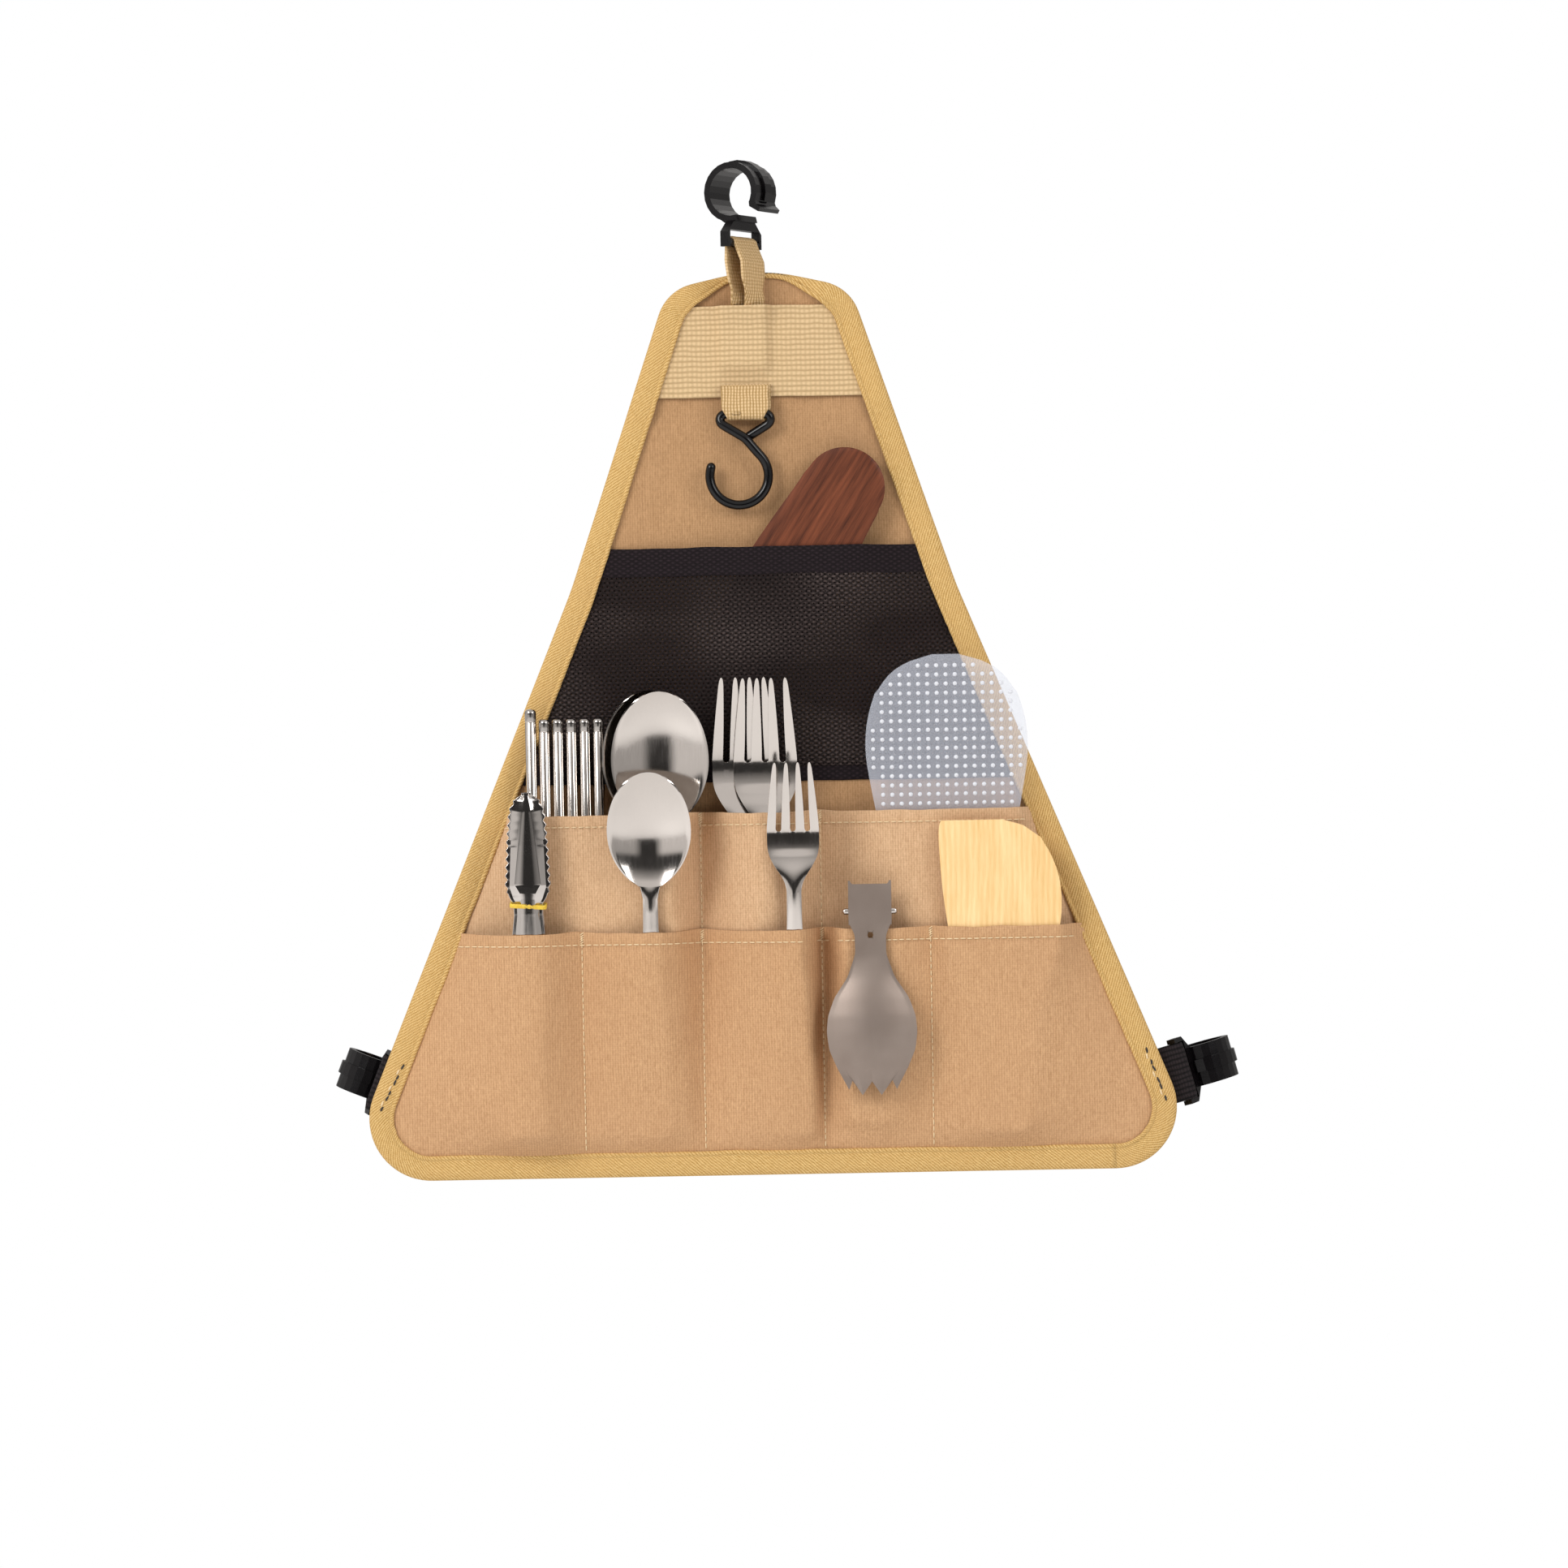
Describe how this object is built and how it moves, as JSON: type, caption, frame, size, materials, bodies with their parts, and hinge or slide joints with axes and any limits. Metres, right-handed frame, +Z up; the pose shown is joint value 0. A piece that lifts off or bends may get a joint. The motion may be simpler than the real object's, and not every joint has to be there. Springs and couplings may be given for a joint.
{
  "type": "camping utensil storage bag",
  "caption": "Tapered hanging canvas utensil bag with sewn pockets, a net pocket, webbing hanger with plastic clips, wire hook and camping cutlery standing in its pockets.",
  "frame": {"origin": "hang point: centre of the pole held by the top clip", "axes": "+Z up along the bag's height, +X to the right seen from the front, front faces -Y"},
  "size_m": [0.404, 0.0754, 0.4489],
  "materials": {
    "canvas": "heavy cotton canvas, plain weave",
    "binding_tape": "golden tan twill tape",
    "beige_webbing": "cotton webbing",
    "black_webbing": "ribbed nylon webbing",
    "black_mesh": "open knitted net",
    "black_plastic": "moulded, satin",
    "coated_wire": "black coated wire",
    "polished_steel": "polished stainless steel",
    "titanium": "matte blasted titanium",
    "frosted_plastic": "translucent, dimpled",
    "bamboo": "oiled bamboo",
    "walnut": "oiled walnut",
    "yellow_rubber": "rubber band"
  },
  "bodies": {
    "top_clip": {"top_clip": "black_plastic"},
    "bag": {"back_panel": "canvas", "edge_binding": "binding_tape", "upper_pocket": "canvas", "lower_pocket": "canvas", "top_band": "beige_webbing", "hanger_strap": "beige_webbing", "hook_tab": "beige_webbing", "mesh_pocket": "black_mesh", "mesh_hem": "black_mesh", "mesh_bottom_hem": "black_mesh", "side_tab_left": "black_webbing", "side_tab_right": "black_webbing"},
    "left_clip": {"left_clip": "black_plastic"},
    "right_clip": {"right_clip": "black_plastic"},
    "s_hook": {"s_hook": "coated_wire"},
    "chopstick_1": {"chopstick_1": "polished_steel"},
    "chopstick_2": {"chopstick_2": "polished_steel"},
    "chopstick_3": {"chopstick_3": "polished_steel"},
    "chopstick_4": {"chopstick_4": "polished_steel"},
    "chopstick_5": {"chopstick_5": "polished_steel"},
    "chopstick_6": {"chopstick_6": "polished_steel"},
    "table_spoon_rear": {"table_spoon_rear": "polished_steel"},
    "table_spoon_front": {"table_spoon_front": "polished_steel"},
    "table_fork_rear": {"table_fork_rear": "polished_steel"},
    "table_fork_front": {"table_fork_front": "polished_steel"},
    "rice_paddle": {"rice_paddle": "frosted_plastic"},
    "walnut_spatula": {"walnut_spatula": "walnut"},
    "bamboo_turner": {"bamboo_turner": "bamboo"},
    "dessert_spoon": {"dessert_spoon": "polished_steel"},
    "dessert_fork": {"dessert_fork": "polished_steel"},
    "tongs": {"tongs": "polished_steel", "tongs_band": "yellow_rubber"},
    "spork_handle": {"spork_handle": "titanium"},
    "spork_head": {"spork_head": "titanium"}
  },
  "joints": [
    {"name": "bag_swing", "type": "hinge", "parent": "top_clip", "child": "bag", "pos_m": [0, 0, -0.0224], "axis": [0.4848, 0.8746, 0], "range_deg": [-20, 20]},
    {"name": "left_clip_swing", "type": "hinge", "parent": "bag", "child": "left_clip", "pos_m": [-0.16617, 0.0148, -0.39176], "axis": [-0.3584, 0, -0.9336], "range_deg": [-60, 45]},
    {"name": "right_clip_swing", "type": "hinge", "parent": "bag", "child": "right_clip", "pos_m": [0.18902, 0.0148, -0.39272], "axis": [-0.2588, 0, 0.9659], "range_deg": [-60, 45]},
    {"name": "hook_swing", "type": "hinge", "parent": "bag", "child": "s_hook", "pos_m": [0.0005, 0.0029, -0.0974], "axis": [-1, 0, 0], "range_deg": [0, 15]},
    {"name": "chopstick_1_slide", "type": "slide", "parent": "bag", "child": "chopstick_1", "axis": [0, -0.0489, 0.9988], "range_m": [0, 0.15]},
    {"name": "chopstick_2_slide", "type": "slide", "parent": "bag", "child": "chopstick_2", "axis": [0, -0.0489, 0.9988], "range_m": [0, 0.15]},
    {"name": "chopstick_3_slide", "type": "slide", "parent": "bag", "child": "chopstick_3", "axis": [0, -0.0489, 0.9988], "range_m": [0, 0.15]},
    {"name": "chopstick_4_slide", "type": "slide", "parent": "bag", "child": "chopstick_4", "axis": [0, -0.0489, 0.9988], "range_m": [0, 0.15]},
    {"name": "chopstick_5_slide", "type": "slide", "parent": "bag", "child": "chopstick_5", "axis": [0, -0.0489, 0.9988], "range_m": [0, 0.15]},
    {"name": "chopstick_6_slide", "type": "slide", "parent": "bag", "child": "chopstick_6", "axis": [0, -0.0489, 0.9988], "range_m": [0, 0.15]},
    {"name": "table_spoon_rear_slide", "type": "slide", "parent": "bag", "child": "table_spoon_rear", "axis": [0, -0.0758, 0.9971], "range_m": [0, 0.15]},
    {"name": "table_spoon_front_slide", "type": "slide", "parent": "bag", "child": "table_spoon_front", "axis": [0, -0.1158, 0.9933], "range_m": [0, 0.15]},
    {"name": "table_fork_rear_slide", "type": "slide", "parent": "bag", "child": "table_fork_rear", "axis": [0, -0.0758, 0.9971], "range_m": [0, 0.15]},
    {"name": "table_fork_front_slide", "type": "slide", "parent": "bag", "child": "table_fork_front", "axis": [0, -0.1051, 0.9945], "range_m": [0, 0.15]},
    {"name": "rice_paddle_slide", "type": "slide", "parent": "bag", "child": "rice_paddle", "axis": [0, -0.0529, 0.9986], "range_m": [0, 0.15]},
    {"name": "walnut_spatula_slide", "type": "slide", "parent": "bag", "child": "walnut_spatula", "axis": [0.5297, -0.027, 0.8477], "range_m": [0, 0.1]},
    {"name": "bamboo_turner_slide", "type": "slide", "parent": "bag", "child": "bamboo_turner", "axis": [0, -0.055, 0.9985], "range_m": [0, 0.1]},
    {"name": "dessert_spoon_slide", "type": "slide", "parent": "bag", "child": "dessert_spoon", "axis": [0, -0.1546, 0.988], "range_m": [0, 0.1]},
    {"name": "dessert_fork_slide", "type": "slide", "parent": "bag", "child": "dessert_fork", "axis": [0, -0.1332, 0.9911], "range_m": [0, 0.1]},
    {"name": "tongs_slide", "type": "slide", "parent": "bag", "child": "tongs", "axis": [0, -0.0782, 0.9969], "range_m": [0, 0.1]},
    {"name": "spork_handle_slide", "type": "slide", "parent": "bag", "child": "spork_handle", "axis": [0, -0.0745, 0.9972], "range_m": [0, 0.1]},
    {"name": "spork_fold", "type": "hinge", "parent": "spork_handle", "child": "spork_head", "pos_m": [0.0515, -0.00752, -0.3184], "axis": [-1, 0, 0], "range_deg": [0, 30]}
  ]
}
